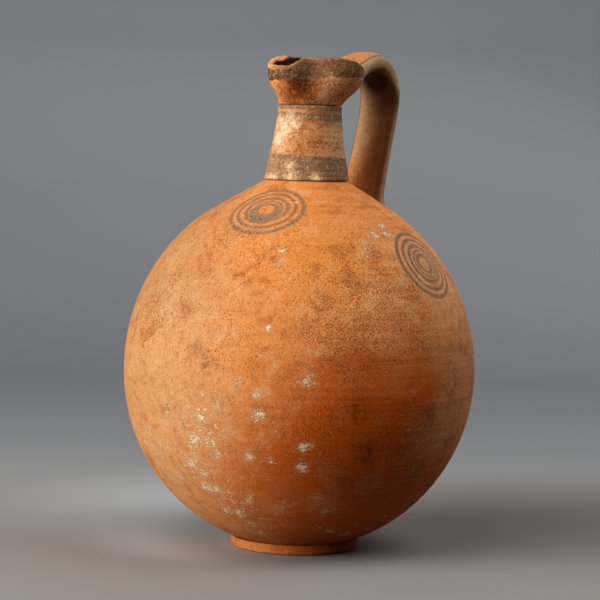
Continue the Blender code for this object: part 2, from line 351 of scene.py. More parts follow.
def spots_on(surface, places):
    """Spots for places of azimuth in degrees, then height, reach and strength, lengths in millimetres."""
    return [(surface(azimuth, height * MM) + lean(height * MM), reach * MM, strength)
            for azimuth, height, reach, strength in places]


def spread_marks(piece, name, spots):
    """Write on each corner how strongly the nearest of some spots covers it."""
    mesh = piece.data
    places = np.zeros(len(mesh.vertices) * 3)
    mesh.vertices.foreach_get("co", places)
    places = places.reshape(-1, 3)
    cover = np.zeros(len(places))
    for centre, reach, strength in spots:
        nearest = np.argmin(np.linalg.norm(places - np.array(centre), axis=1))
        distance = np.linalg.norm(places - places[nearest], axis=1)
        cover = np.maximum(cover, strength * np.exp(-(distance / reach) ** 2))
    mesh.attributes.new(name, "FLOAT", "POINT").data.foreach_set("value", cover)


# Body

# Dents: azimuth in degrees, then height, reach and depth in millimetres
DENTS = ((-166, 104, 6, 0.5), (-109, 56, 7, 0.3), (30, 70, 9, 0.4), (95, 110, 7, 0.35))


def body_offset(azimuth, radius, height, dents):
    """What throwing, drying and wear did to the body's radius."""
    place = polar(radius, azimuth, height)
    patchy = 0.5 + noise.noise(place * BODY_RIDGE_PATCHES_PER_METRE)
    offset = uneven(place, BODY_SWELL)
    offset += ridge(azimuth, height, BODY_RIDGE_DEPTH, BODY_RIDGE_PITCH) * patchy
    for centre, reach, depth in dents:
        distance = (place - centre).length
        if distance < 3 * reach:
            offset -= depth * exp(-(distance / reach) ** 2)
    return offset * smooth(SEAT_RADIUS, 2 * SEAT_RADIUS, radius)


def body_profile():
    start = -atan2(sqrt(BELLY_RADIUS ** 2 - FLOOR_RADIUS ** 2), FLOOR_RADIUS)
    end = atan2(sqrt(BELLY_RADIUS ** 2 - CONE_RADIUS ** 2), CONE_RADIUS)
    profile = [(0, FLOOR_HEIGHT)]
    profile += arc_profile(BELLY_RADIUS, underside_depth(), start, 0, BODY_STEPS)
    profile += arc_profile(BELLY_RADIUS, SHOULDER_RISE, 0, end, BODY_STEPS)[1:]
    profile += line_profile(profile[-1], (SEAT_RADIUS, SEAT_HEIGHT), BODY_STEPS // 4)
    opening = SEAT_RADIUS - SEAT_WIDTH
    inner_radius = BELLY_RADIUS - BODY_WALL
    inner_end = atan2(sqrt(inner_radius ** 2 - opening ** 2), opening)
    profile += [(opening, SEAT_HEIGHT)]
    profile += arc_profile(inner_radius, SHOULDER_RISE - BODY_WALL, inner_end, 0, CAVITY_STEPS)
    depth = BELLY_HEIGHT - FLOOR_HEIGHT - BODY_WALL
    profile += arc_profile(inner_radius, depth, 0, -pi / 2, CAVITY_STEPS)[1:-1]
    return profile + [(0, FLOOR_HEIGHT + BODY_WALL)]


# Spots on the body, and further down on the neck and the mouth: azimuth in degrees, then height, reach
# and strength, lengths in millimetres. First the pale crust from the ground
CRUST_SPOTS = (
    (-147, 76, 4.5, 1), (-148, 86, 3.2, 1), (-133, 61, 4, 1), (-130, 62.5, 3.5, 0.75),
    (-133, 51.5, 4.5, 0.95), (-132, 93, 5.5, 0.85), (-154, 91.5, 4, 0.8), (-171, 61.5, 6, 0.95),
    (-164, 61.5, 5.5, 0.85), (-167, 72, 6, 0.75), (-160, 78, 7, 0.65), (180, 76.5, 8, 0.6),
    (-158, 65.5, 5, 0.7), (-175, 49, 5, 0.85), (-162, 55, 6, 0.75), (-171, 44.5, 5, 0.75),
    (-172, 37, 5.5, 0.95), (-167, 37, 4.5, 0.9), (175, 40, 6, 0.7), (169, 47.5, 4, 0.7), (-151, 55, 5, 0.8),
    (-143, 54, 3.5, 0.75), (-155, 44.5, 2, 0.8), (-168, 25.5, 5, 0.85), (-161, 24.5, 5, 0.8),
    (-158, 18.5, 4.5, 0.75), (-156, 13, 3, 0.85), (-154, 32, 7, 0.6), (-141, 29, 9, 0.6),
    (-127, 34.5, 6, 0.6), (-118, 28.5, 6, 0.6), (-122, 28, 4, 0.75), (-115, 15, 4, 0.85),
    (-102, 13, 5, 0.75), (-88, 14.5, 4, 0.75), (-85, 19.5, 3, 0.65), (-89, 164, 4, 1), (-90, 160, 4, 0.95),
    (-98, 159.5, 4, 1), (-106, 156.5, 4.5, 0.75), (-80, 176.5, 3, 0.9), (-143, 152, 3.2, 0.95),
    (-143, 146.5, 4.5, 0.75), (-107, 152, 6, 0.65), (-96, 139, 4, 0.75), (-142, 174, 2.5, 0.8),
    (166, 173.5, 3, 0.75), (-145, 116.5, 3, 0.9), (-146, 127, 3.5, 0.65), (-147, 103.5, 2, 0.8),
    (-166, 84.5, 3, 0.8), (-117, 135, 3, 0.6), (-97, 87, 2.5, 0.65), (20, 60, 8, 0.75), (26, 54, 6, 0.7),
    (14, 66, 5, 0.8), (60, 120, 5, 0.85), (66, 112, 4, 0.8), (100, 80, 7, 0.7), (106, 88, 5, 0.75),
    (112, 74, 6, 0.65), (140, 45, 8, 0.65), (132, 38, 6, 0.75), (-30, 95, 5, 0.75), (-22, 88, 4, 0.8),
    (10, 150, 4, 0.85), (40, 24, 7, 0.7), (80, 30, 7, 0.65), (-76, 145, 9, 0.55), (-71, 151, 7, 0.6),
    (166, 63, 5, 0.7), (160, 54, 5, 0.7), (171, 55, 4, 0.75),
)

# Where dark grit shows most
GRIT_SPOTS = (
    (168, 122, 26, 0.8), (-108, 128, 46, 0.9), (-95, 90, 40, 0.6), (-169, 160, 20, 0.6),
    (-140, 158, 16, 0.5), (-160, 104, 10, 0.4), (40, 110, 50, 0.8), (110, 70, 40, 0.6),
    (-40, 60, 40, 0.6), (-125, 70, 30, 0.5), (-92, 58, 36, 0.7), (-160, 120, 30, 0.3),
)

# Darker, redder stains
STAIN_SPOTS = (
    (-112, 57.5, 6, 1), (-116, 78, 6, 0.75), (-89, 73.5, 7, 0.7), (-169, 105.5, 4, 0.6),
    (-165, 98.5, 3.5, 0.75), (-146, 148, 1.8, 0.9), (-155, 137.5, 2.5, 0.6), (-159, 139.5, 2, 0.6),
    (-87, 44.5, 7, 0.5), (-117, 42, 12, 0.5), (20, 90, 12, 0.5), (80, 50, 14, 0.5), (55, 75, 7, 0.6),
)

# A pale dusty film
DUST_SPOTS = (
    (-78, 147, 20, 0.8), (-169, 101.5, 12, 0.4), (-91, 47.5, 14, 0.4), (-127, 34.5, 14, 0.5),
    (-141, 29, 12, 0.4), (180, 76.5, 12, 0.5), (-100, 128, 22, 0.25), (-172, 118, 24, 0.35),
    (30, 120, 30, 0.5), (110, 110, 24, 0.45), (60, 40, 24, 0.45),
)

# Where small flakes of crust lie scattered
SCATTER_SPOTS = (
    (-165, 70, 20, 1), (-172, 48, 18, 1), (168, 58, 16, 0.8), (-76, 146, 14, 0.8), (-160, 84, 14, 0.8),
    (-160, 30, 18, 0.9), (-150, 18, 16, 0.8), (-148, 52, 16, 0.75), (-140, 68, 14, 0.5),
    (-100, 72, 26, 0.5), (-120, 16, 16, 0.8), (-90, 22, 18, 0.6), (-98, 160, 12, 0.9),
    (-78, 147, 20, 0.6), (-175, 95, 14, 0.5), (-133, 60, 16, 0.5), (-147, 104, 10, 0.6),
    (-145, 150, 8, 0.6), (-160, 172, 16, 0.4), (160, 172, 12, 0.7), (20, 60, 24, 0.8),
    (62, 116, 20, 0.7), (104, 80, 24, 0.8), (136, 42, 22, 0.7), (-28, 92, 18, 0.6),
)

# Where the slip is most golden
GOLD_SPOTS = (
    (-128, 150, 24, 0.75), (-142, 172, 14, 0.5), (-150, 100, 14, 0.3), (30, 140, 30, 0.7),
    (120, 120, 24, 0.5),
)

BODY_MARKS = {
    "crust": CRUST_SPOTS,
    "grit": GRIT_SPOTS,
    "stain": STAIN_SPOTS,
    "dust": DUST_SPOTS,
    "scatter": SCATTER_SPOTS,
    "gold": GOLD_SPOTS,
}


def make_body(material):
    dents = [(on_body(azimuth, height * MM), reach * MM, depth * MM)
             for azimuth, height, reach, depth in DENTS]

    def offset(azimuth, radius, height):
        return body_offset(azimuth, radius, height, dents)

    bm = skin(round_rings(body_profile(), BODY_TURNS, offset), loop=False)
    body = finished("thrown_body", bm, material, "body")
    for name, places in BODY_MARKS.items():
        spread_marks(body, name, spots_on(on_body, places))


# Foot ring

def foot_offset(azimuth, radius, height):
    return uneven(polar(radius, azimuth, height), FOOT_GRAIN)


def foot_profile():
    inner = FOOT_RADIUS - FOOT_RIM_WIDTH
    profile = [(inner, FOOT_HIGH.z / 2), (inner, FOOT_INNER_EDGE), (inner + FOOT_INNER_EDGE, 0)]
    profile += line_profile(profile[-1], (FOOT_RADIUS - FOOT_EDGE, 0), FOOT_STEPS)
    for step in range(1, FOOT_STEPS + 1):
        turn = pi / 2 * step / FOOT_STEPS
        profile.append((FOOT_RADIUS - FOOT_EDGE * (1 - sin(turn)), FOOT_EDGE * (1 - cos(turn))))
    top = underside_height(FOOT_RADIUS, LUTE_GAP) - LUTE_GAP / 2
    profile += line_profile(profile[-1], (FOOT_RADIUS, top), FOOT_STEPS)
    for step in range(1, FOOT_STEPS + 1):
        radius = FOOT_RADIUS - FOOT_RIM_WIDTH * step / FOOT_STEPS
        height = max(underside_height(radius, LUTE_GAP), FLOOR_HEIGHT) - LUTE_GAP / 2
        profile.append((radius, height))
    return profile


def make_foot(material):
    bm = skin(round_rings(foot_profile(), FOOT_TURNS, foot_offset))
    finished("ring_foot", bm, material, "foot_ring")


# Neck

# Pale crust, as spots
NECK_CRUST = (
    (-163, 215, 4.5, 0.9), (-172, 217, 4, 0.8), (-178, 211, 5.5, 1.0), (170, 208, 5, 1.0),
    (162, 206, 4.5, 1.1), (165, 216, 6, 0.8), (-160, 193.5, 3.5, 0.75), (-158, 189, 4, 0.8),
    (-149, 187, 3, 0.6), (-123, 187, 3.2, 1.1), (-119, 184.5, 2.5, 0.9), (176, 185.5, 2.5, 0.9),
    (168, 185.8, 2.5, 0.95), (160, 186, 2.5, 0.9), (60, 200, 6, 0.8), (45, 190, 4, 0.7),
)


def neck_radius(share):
    """Outer radius at a share of the neck's height, from foot to top."""
    return NECK_TOP_RADIUS + (NECK_FOOT_RADIUS - NECK_TOP_RADIUS) * (1 - share) ** NECK_FLARE_POWER


def neck_offset(azimuth, radius, height):
    """What throwing and wear did to the neck's outer skin; its spigot and its rebate stay true."""
    if height < NECK_BASE or radius < NECK_TOP_RADIUS - 2 * NECK_EDGE:
        return 0
    spiral = ridge(azimuth, height, NECK_RIDGE_DEPTH, NECK_RIDGE_PITCH)
    return spiral + uneven(polar(radius, azimuth, height), NECK_GRAIN)


def neck_profile():
    spigot = SEAT_RADIUS - SEAT_WIDTH - LUTE_GAP
    bore = NECK_TOP_RADIUS - NECK_WALL
    joint = NECK_TOP_RADIUS - NECK_WALL / 2
    rebate = NECK_TOP - MOUTH_SPIGOT_LENGTH - LUTE_GAP
    length = NECK_TOP - NECK_BASE
    profile = [(spigot, NECK_BASE - SPIGOT_LENGTH), (spigot, NECK_BASE)]
    profile += [(NECK_FOOT_RADIUS - NECK_EDGE, NECK_BASE), (NECK_FOOT_RADIUS, NECK_BASE + NECK_EDGE)]
    for step in range(NECK_STEPS + 1):
        share = step / NECK_STEPS
        height = NECK_BASE + NECK_FOOT_LIP + (length - NECK_FOOT_LIP - NECK_EDGE) * share
        profile.append((neck_radius(share), height))
    profile += [(NECK_TOP_RADIUS - NECK_EDGE, NECK_TOP), (joint, NECK_TOP), (joint, rebate), (bore, rebate)]
    bore_foot = (spigot - SPIGOT_WALL, NECK_BASE - SPIGOT_LENGTH)
    return profile + line_profile(profile[-1], bore_foot, BORE_STEPS)


def make_neck(material):
    profile = neck_profile()
    rebate_row = len(profile) - BORE_STEPS - 2
    marks = {"bore": lambda row, turn: 1.0 if row >= rebate_row else 0.0}
    bm = skin(round_rings(profile, NECK_TURNS, neck_offset), marks=marks)
    neck = finished("flared_neck", bm, material, "neck")
    spread_marks(neck, "crust", spots_on(near_neck, NECK_CRUST))


# Mouth

# Golden crust and dark pits, as spots
MOUTH_CRUST = (
    (-126, 236, 2.4, 1.0), (-120, 234.5, 2.6, 1.2), (-114, 233.5, 2.2, 0.9), (-112, 243.5, 2, 0.6),
    (-100, 241.5, 2, 0.6), (-52, 239, 3, 1.1), (-82, 238, 3, 0.5), (-150, 238, 2.5, 0.6),
    (-168, 238.5, 2, 0.5), (100, 236, 5, 0.8), (120, 226, 4, 0.7),
)
MOUTH_PITS = ((-151, 238.2, 0.8, 1.2), (-140, 231, 0.6, 1.0), (95, 232, 0.8, 1.0))

# How far from the spout's middle its lip is worn bare, and how strongly
SPOUT_BARE_REACH = 14 * MM
SPOUT_BARE = 1.4


def pinch_centre(spout, lobe):
    """Centre of the pinched hollow that touches the spout's and the lobe's circles."""
    gap = lobe - spout
    near = SPOUT_RADIUS + PINCH_RADIUS
    far = LOBE_RADIUS + PINCH_RADIUS
    along = (near ** 2 - far ** 2 + gap.length ** 2) / (2 * gap.length)
    across = sqrt(near ** 2 - along ** 2)
    unit = gap.normalized()
    return spout + unit * along + Vector((-unit.y, unit.x)) * across


def arc(centre, radius, start, end):
    """Points on an arc, without its last one."""
    points = []
    for step in range(MOUTH_ARC_STEPS):
        angle = start + (end - start) * step / MOUTH_ARC_STEPS
        points.append(centre + radius * Vector((cos(angle), sin(angle))))
    return points


def trefoil(inset):
    """The rim from above, moved in by a wall: back arc, lobe, pinch and spout, mirrored."""
    spout = Vector((SPOUT_RADIUS - SPOUT_REACH, 0))
    pinch = pinch_centre(spout, LOBE_CENTRE)
    back = Vector((LOBE_CENTRE.x - sqrt((BACK_RADIUS - LOBE_RADIUS) ** 2 - LOBE_CENTRE.y ** 2), 0))
    to_lobe = LOBE_CENTRE - back
    to_pinch = pinch - LOBE_CENTRE
    from_spout = pinch - spout
    back_end = atan2(to_lobe.y, to_lobe.x)
    lobe_end = atan2(to_pinch.y, to_pinch.x) % (2 * pi)
    spout_start = atan2(from_spout.y, from_spout.x)
    half = arc(back, BACK_RADIUS - inset, 0, back_end)
    half += arc(LOBE_CENTRE, LOBE_RADIUS - inset, back_end, lobe_end)
    half += arc(pinch, PINCH_RADIUS + inset, lobe_end - pi, spout_start - pi)
    half += arc(spout, SPOUT_RADIUS - inset, spout_start, pi)
    tip = Vector((inset - SPOUT_REACH, 0))
    return half + [tip] + [Vector((point.x, -point.y)) for point in half[:0:-1]]


def rim_level(place):
    """How far the rim stands above its level at a place on the outline."""
    azimuth = degrees(atan2(place.y, place.x))
    for (start, low), (end, high) in zip(RIM_LEVELS, RIM_LEVELS[1:]):
        if azimuth <= end:
            return (low + (high - low) * smooth(start, end, azimuth)) * MM
    return high * MM


def lip_wear(place, share):
    """How far the clay has crumbled away at the rim, most of all at the spout."""
    near_rim = smooth(WEAR_START, 1, share)
    at_spout = smooth(SPOUT_WEAR_START, SPOUT_WEAR_FULL, place.x) if place.x < 0 else 0
    chips = max(0, noise.noise(place * CHIPS_PER_METRE) - CHIP_RARITY) * CHIP_DEPTH
    grain = (PLAIN_GRAIN + at_spout) * uneven(place, LIP_GRAIN)
    return near_rim * (grain - (PLAIN_CHIPS + (1 - PLAIN_CHIPS) * at_spout) * chips)


def mouth_ring(share, inset=0.0, lift=0.0):
    """One level of the mouth, from the round neck (0) to the trefoil rim (1)."""
    spread = 1 - (1 - share ** FLARE_START) ** FLARE_END
    round_radius = NECK_TOP_RADIUS + MOUTH_STEP - (NECK_WALL + MOUTH_STEP) * (inset / LIP_WALL)
    points = []
    for thick, thin in zip(trefoil(inset), trefoil(inset * SPOUT_LIP_SHARE)):
        place = thick.lerp(thin, smooth(SPOUT_THIN_FROM, SPOUT_THIN_TO, -thick.x))
        flat = (place.normalized() * round_radius).lerp(place, spread)
        height = (MOUTH_HEIGHT + rim_level(place)) * share + lift
        point = Vector((flat.x, flat.y, MOUTH_BASE + height))
        out = Vector((place.x, place.y, 0)).normalized() * (1 if inset < LIP_WALL / 2 else -1)
        wear = lip_wear(point, share)
        grain = uneven(point, MOUTH_GRAIN) * smooth(0, MOUTH_GRAIN_FULL, share)
        point += out * (grain + wear * WEAR_INWARD)
        point.z += wear
        points.append(point + lean(point.z))
    return points


def plain_ring(radius, height):
    """A round ring whose points stand at the same angles as the trefoil's."""
    side = lean(height)
    return [Vector((*(place.normalized() * radius), height)) + side for place in trefoil(0)]


def make_mouth(material):
    bore = NECK_TOP_RADIUS - NECK_WALL
    spigot = NECK_TOP_RADIUS - NECK_WALL / 2 - LUTE_GAP
    bottom = NECK_TOP - MOUTH_SPIGOT_LENGTH
    profile = [(bore, bottom), (spigot, bottom), (spigot, MOUTH_BASE)]
    profile.append((NECK_TOP_RADIUS + MOUTH_STEP - MOUTH_EDGE, MOUTH_BASE))
    rings = [plain_ring(radius, height) for radius, height in profile]
    rises = [0] * len(rings)
    for step in range(1, MOUTH_STEPS + 1):
        rises.append(step / MOUTH_STEPS)
        rings.append(mouth_ring(step / MOUTH_STEPS))
    for step in range(1, LIP_STEPS):
        turn = pi * step / LIP_STEPS
        rises.append(1 + step / LIP_STEPS)
        rings.append(mouth_ring(1, inset=LIP_WALL * (1 - cos(turn)) / 2, lift=LIP_ROUND * sin(turn)))
    for step in range(THROAT_STEPS, -1, -1):
        rises.append(3 - step / THROAT_STEPS)
        rings.append(mouth_ring(step / THROAT_STEPS, inset=LIP_WALL))
    bm = skin(rings, marks={"rise": lambda row, turn: rises[row]})
    mouth = finished("pinched_mouth", bm, material, "trefoil_mouth")
    spread_marks(mouth, "crust", spots_on(near_neck, MOUTH_CRUST))
    spread_marks(mouth, "pit", spots_on(near_neck, MOUTH_PITS))
    spout = Vector((SPOUT_RADIUS - SPOUT_REACH, 0, RIM_HEIGHT)) + lean(RIM_HEIGHT)
    spread_marks(mouth, "spout", [(spout, SPOUT_BARE_REACH, SPOUT_BARE)])


# Handle

# Painted shade under the arch with some soot, and pale rubbed places: place and reach in millimetres, and
# strength
HANDLE_SOOT_AND_SHADE = (
    ((36, -2, 238), 11, 1.4), ((44, -5, 237), 11, 1.4), ((52, -8, 233), 11, 1.3), ((57, -10, 226), 11, 1.1),
    ((60, -12, 217), 9, 0.5),
)
HANDLE_CRUST = (((43.5, 1, 205), 3, 1.0), ((60, -6, 190), 5, 0.6), ((54, -12, 241), 10, 0.65))


def rim_back():
    return max(place.x for place in trefoil(0))


def strap_route():
    """The strap's middle line, three curves between four places."""
    half = HANDLE_THICKNESS / 2
    crown_height = RIM_HEIGHT + CROWN_RISE - half - CROWN_THICKENING / 2
    root = Vector((rim_back() - LIP_LAP, 0, RIM_HEIGHT - ROOT_TOP_DROP - half * (1 + FLARE)))
    crown = Vector((CROWN_REACH, 0, crown_height))
    bend = Vector((HANDLE_REACH - half, 0, crown_height - BEND_DROP))
    lean_in = Vector((ROOT_SLOPE, 0, 1)).normalized()
    end = Vector((ROOT_REACH, 0, shoulder_height(ROOT_REACH))) - lean_in * ROOT_DEPTH
    over = Vector((bend.x - crown.x, 0, 0)) * ROUND_PULL
    down = Vector((0, 0, BEND_DROP)) * ROUND_PULL
    near_end = end + lean_in * ROOT_PULL
    first = interpolate_bezier(root, (root + crown) / 2, crown - over, crown, ROUTE_STEPS)
    second = interpolate_bezier(crown, crown + over, bend + down, bend, ROUTE_STEPS)
    third = interpolate_bezier(bend, bend - down * BEND_PULL, near_end, end, ROUTE_STEPS)
    return first + second[1:] + third[1:]


def superellipse(angle):
    """Across and outward shares of the strap's section at an angle."""
    return [copysign(abs(share) ** (2 / HANDLE_SQUARENESS), share) for share in (cos(angle), sin(angle))]


STRAP_SECTION = [superellipse(2 * pi * turn / STRAP_TURNS) for turn in range(STRAP_TURNS)]


def strap_ring(centre, along, width, thickness):
    outward = Vector((along.z, 0, -along.x))
    ring = []
    for across, out in STRAP_SECTION:
        point = centre + Vector((0, across * width / 2, 0)) + outward * (out * thickness / 2)
        point += outward * out * uneven(point, STRAP_GRAIN)
        point += Vector((0, across, 0)) * uneven(point, STRAP_SIDE_GRAIN)
        ring.append(point + handle_lean(point.z))
    return ring


def strap_size(share, from_rim, to_root, from_thickest):
    """Width and thickness of the strap at a share of its steps: flared at both ends, thick at the crown."""
    flare = max(0, 1 - share / FLARE_AT_RIM) ** 2 + max(0, 1 - (1 - share) / FLARE_AT_ROOT) ** 2
    spread = 1 + FLARE * flare
    at_rim = exp(-max(from_rim - LIP_LAP, 0) / FILLET_LENGTH)
    at_root = exp(-max(to_root - ROOT_DEPTH, 0) / FILLET_LENGTH)
    fillet = 2 * FILLET * (FILLET_AT_RIM * at_rim + at_root)
    thickening = CROWN_THICKENING * exp(-(from_thickest / CROWN_SPAN) ** 2)
    width = HANDLE_WIDTH * spread ** WIDTH_FLARE_POWER + fillet
    return width, HANDLE_THICKNESS * spread + thickening + fillet


def rounded_end(ring, away):
    """Rings that close the strap with a round edge, from its point back to the full ring."""
    middle = ring[0].lerp(ring[STRAP_TURNS // 2], 0.5)
    rings = []
    for step in range(END_STEPS):
        turn = pi / 2 * step / END_STEPS
        moved = away.normalized() * END_ROUND * cos(turn)
        rings.append([middle + (point - middle) * sin(turn) + moved for point in ring])
    return rings


def make_handle(material):
    places = strap_route()
    last = len(places) - 1
    lengths = [0]
    for before, after in zip(places, places[1:]):
        lengths.append(lengths[-1] + (after - before).length)
    rings = []
    for i, centre in enumerate(places):
        along = (places[max(i - 1, 0)] - places[min(i + 1, last)]).normalized()
        from_thickest = lengths[i] - lengths[THICKEST_STEP]
        width, thickness = strap_size(i / last, lengths[i], lengths[last] - lengths[i], from_thickest)
        rings.append(strap_ring(centre, along, width, thickness))
    rings = rounded_end(rings[0], places[0] - places[1]) + rings
    rings += [[rings[-1][0].lerp(rings[-1][STRAP_TURNS // 2], 0.5)] * STRAP_TURNS]
    marks = {
        "across": lambda row, turn: STRAP_SECTION[turn][0],
        "outward": lambda row, turn: STRAP_SECTION[turn][1],
    }
    bm = skin(rings, loop=False, marks=marks)
    handle = finished("strap_handle", bm, material, "handle")
    for name, places in {"soot_and_shade": HANDLE_SOOT_AND_SHADE, "crust": HANDLE_CRUST}.items():
        spots = [(Vector(place) * MM, reach * MM, strength) for place, reach, strength in places]
        spread_marks(handle, name, spots)


# Finishes

def colour(red, green, blue):
    """A colour written in the usual steps of 0 to 255, as the linear values that the shader takes."""
    linear = []
    for step in (red, green, blue):
        share = step / 255
        linear.append(share / 12.92 if share <= 0.04045 else ((share + 0.055) / 1.055) ** 2.4)
    return (*linear, 1)


SLIP_PALE_LIT = colour(226, 158, 98)
SLIP_BRIGHT = colour(244, 150, 80)
SLIP_SHADED_RED = colour(214, 88, 4)
SLIP_RUST = colour(196, 104, 48)
SLIP_BUFF = colour(240, 184, 126)
SLIP_STAIN = colour(120, 52, 14)
SLIP_TAN_AND_EDGE_SHEEN = colour(222, 154, 92)
SLIP_GOLD = colour(246, 152, 58)
RING_PAINT = colour(138, 108, 84)
FILM = colour(228, 176, 126)
ORANGE = colour(226, 140, 74)
DARK_GRIT = colour(88, 44, 18)
PALE_CRUST = colour(255, 221, 176)
GOLD_CRUST = colour(250, 206, 138)
NECK_ORANGE = colour(222, 148, 86)
NECK_RED = colour(192, 104, 46)
NECK_LIT_BUFF = colour(242, 184, 124)
NECK_BROWN = colour(150, 90, 46)
BAND_PAINT = colour(142, 108, 78)
BAND_DARK = colour(96, 66, 42)
MOUTH_RED = colour(168, 84, 24)
MOUTH_BROWN = colour(134, 72, 24)
MOUTH_FILM_AND_LIGHT = colour(214, 154, 104)
RIM_DARK = colour(112, 80, 52)
RIM_PALE_SHEEN = colour(172, 136, 100)
RIM_BROWN = colour(130, 88, 50)
NECK_TAN_EDGE_LIGHT = colour(240, 192, 138)
LIP_CREAM = colour(253, 184, 118)
HANDLE_BROWN = colour(214, 152, 94)
HANDLE_SHADED_DEEP = colour(152, 90, 36)
HANDLE_LIT_PALE = colour(252, 196, 144)
HANDLE_ORANGE = colour(250, 172, 98)
HANDLE_LINE = colour(84, 42, 12)
HANDLE_TAN = colour(214, 146, 88)
SIDE_PAINT_AND_RIM_LIGHT = colour(188, 152, 118)
PIT_SHADE = colour(70, 28, 10)
UNDER_ARCH_SOOT_AND_SHADE = colour(62, 24, 8)
FOOT_SHADED_RED = colour(204, 96, 30)
CLAY_EDGE = colour(220, 128, 72)
INSIDE_SHADE = colour(58, 24, 10)

# How much darker the slip is than its own colours, so that pale crust stands out on it
SLIP_DEPTH = (0.82, 0.82, 0.82)

# The tint of the slip's faint gloss
WARM_GLOSS = (1, 0.7, 0.4, 1)

# Numbers of the colour sockets of a mixing node, and the vector operations whose result is a number
COLOUR_UNDER = 6
COLOUR_OVER = 7
MIXED_COLOUR = 2
NUMBER_RESULTS = ("DISTANCE", "DOT_PRODUCT")

# How far a full cover eases a speck's threshold, and how softly a speck ends
SPECK_SPREAD = 0.1
SPECK_EDGE = 0.045


class Value:
    """A number, a place or a colour in a material, so that sums and products can be written plainly."""

    def __init__(self, coat, socket):
        self.coat = coat
        self.socket = socket

    def __add__(self, other):
        return self.coat.maths("ADD", self, other)

    def __radd__(self, other):
        return self.coat.maths("ADD", other, self)

    def __sub__(self, other):
        return self.coat.maths("SUBTRACT", self, other)

    def __mul__(self, other):
        return self.coat.maths("MULTIPLY", self, other)

    def most(self, other):
        return self.coat.maths("MAXIMUM", self, other)

    def swing(self, reach):
        """Cloudy noise turned into a swing about nothing."""
        return (self - 0.5) * (2 * reach)

    def step(self, low, high, result_low=0.0, result_high=1.0):
        """A soft step between two edges."""
        edges = {"From Min": low, "From Max": high, "To Min": result_low, "To Max": result_high}
        inputs = {"Value": self, **edges}
        return self.coat.node("ShaderNodeMapRange", "Result", inputs, interpolation_type="SMOOTHSTEP")


class Coat:
    """One material, laid colour over colour. Places and sizes of patterns are in millimetres; noise, marks
    and covers run from 0 to 1."""

    def __init__(self, name, base=None):
        self.material = bpy.data.materials.new(name)
        self.material.use_nodes = True
        self.tree = self.material.node_tree
        self.shader = self.tree.nodes["Principled BSDF"]
        self.base = base
        self.metres = self.node("ShaderNodeTexCoord", "Object")
        self.place = self.vector("MULTIPLY", self.metres, (1000, 1000, 1000))

    def node(self, kind, output, inputs=None, **settings):
        """One output of a new node that has these settings and inputs."""
        node = self.tree.nodes.new(kind)
        for name, value in settings.items():
            setattr(node, name, value)
        for name, value in (inputs or {}).items():
            self.put(node.inputs[name], value)
        return Value(self, node.outputs[output])

    def put(self, socket, value):
        if isinstance(value, Value):
            self.tree.links.new(value.socket, socket)
        else:
            socket.default_value = value

    def vector(self, operation, first, second):
        result = "Value" if operation in NUMBER_RESULTS else "Vector"
        return self.node("ShaderNodeVectorMath", result, {0: first, 1: second}, operation=operation)

    def maths(self, operation, first, second=0.0):
        return self.node("ShaderNodeMath", "Value", {0: first, 1: second}, operation=operation)

    def mottle(self, size, detail=4.0, roughness=0.55, distortion=0.0, place=None, shift=0.0):
        """Cloudy noise whose lumps are about this many millimetres across."""
        where = place or self.place
        if shift:
            where = self.vector("ADD", where, (shift, shift * 0.7, -shift))
        look = {"Scale": 1 / size, "Detail": detail, "Roughness": roughness, "Distortion": distortion}
        return self.node("ShaderNodeTexNoise", "Fac", {"Vector": where, **look})

    def specks(self, size, cover, rarity, shift=0.0):
        """Small ragged specks, more of them where the cover is higher; a higher rarity leaves fewer."""
        pushed = self.mottle(size, 2, 0.6, shift=shift) + cover * SPECK_SPREAD
        return pushed.step(rarity, rarity + SPECK_EDGE)

    def ramp(self, value, stops):
        """Tones between stops, each a place from 0 to 1 and its tone."""
        tones = self.node("ShaderNodeValToRGB", "Color", {0: value})
        elements = tones.socket.node.color_ramp.elements
        elements.remove(elements[1])
        elements[0].position, elements[0].color = stops[0]
        for place, tone in stops[1:]:
            elements.new(place).color = tone
        return tones

    def mark(self, name):
        """A value that the piece's own corners carry."""
        return self.node("ShaderNodeAttribute", "Fac", attribute_name=name)

    def height(self):
        return self.node("ShaderNodeSeparateXYZ", "Z", {0: self.place})

    def side(self):
        """How far a place is to the side that the neck leans to."""
        return self.vector("DOT_PRODUCT", self.place, LEAN_DIRECTION)

    def mix(self, factor, under, over):
        inputs = {"Factor": factor, COLOUR_UNDER: under, COLOUR_OVER: over}
        return self.node("ShaderNodeMix", MIXED_COLOUR, inputs, data_type="RGBA")

    def lay(self, tone, cover):
        """Lay a colour over what is there, as far as it covers."""
        self.base = self.mix(cover, self.base, tone)

    def shade(self, *factors):
        """Make what is there lighter or darker by factors about 1."""
        for factor in factors:
            self.base = self.vector("MULTIPLY", self.base, factor)

    def finish(self, roughness, specular, relief=None, depth=0.0):
        """Link the colour, the gloss and a relief whose full height is a depth in millimetres."""
        self.put(self.shader.inputs["Base Color"], self.base)
        self.put(self.shader.inputs["Roughness"], roughness)
        self.put(self.shader.inputs["Specular IOR Level"], specular)
        if relief:
            bump = self.node("ShaderNodeBump", "Normal", {"Distance": depth * MM, "Height": relief})
            self.put(self.shader.inputs["Normal"], bump)
        return self.material


# Painted rings: radii of the strokes and their half widths in millimetres
RING_STROKES = ((4.9, 0.9), (7.6, 0.55), (10.4, 1.0), (14.2, 0.9), (18.1, 1.1))
RING_SOFTNESS = 0.28
RING_REACH = 24

# Pooled paint: how far below the centre it gathers, how far it reaches, and the rings it lies between
POOL_DROP = 5
POOL_REACH = 11
POOL_INNER = 5.2
POOL_OUTER = 11

# Sets of painted rings: azimuth in degrees, height in millimetres, and how much paint has pooled
RING_SETS = ((-159.4, 170.3, 1.0), (-76.3, 146.2, 0.35), (104, 158, 0.6))

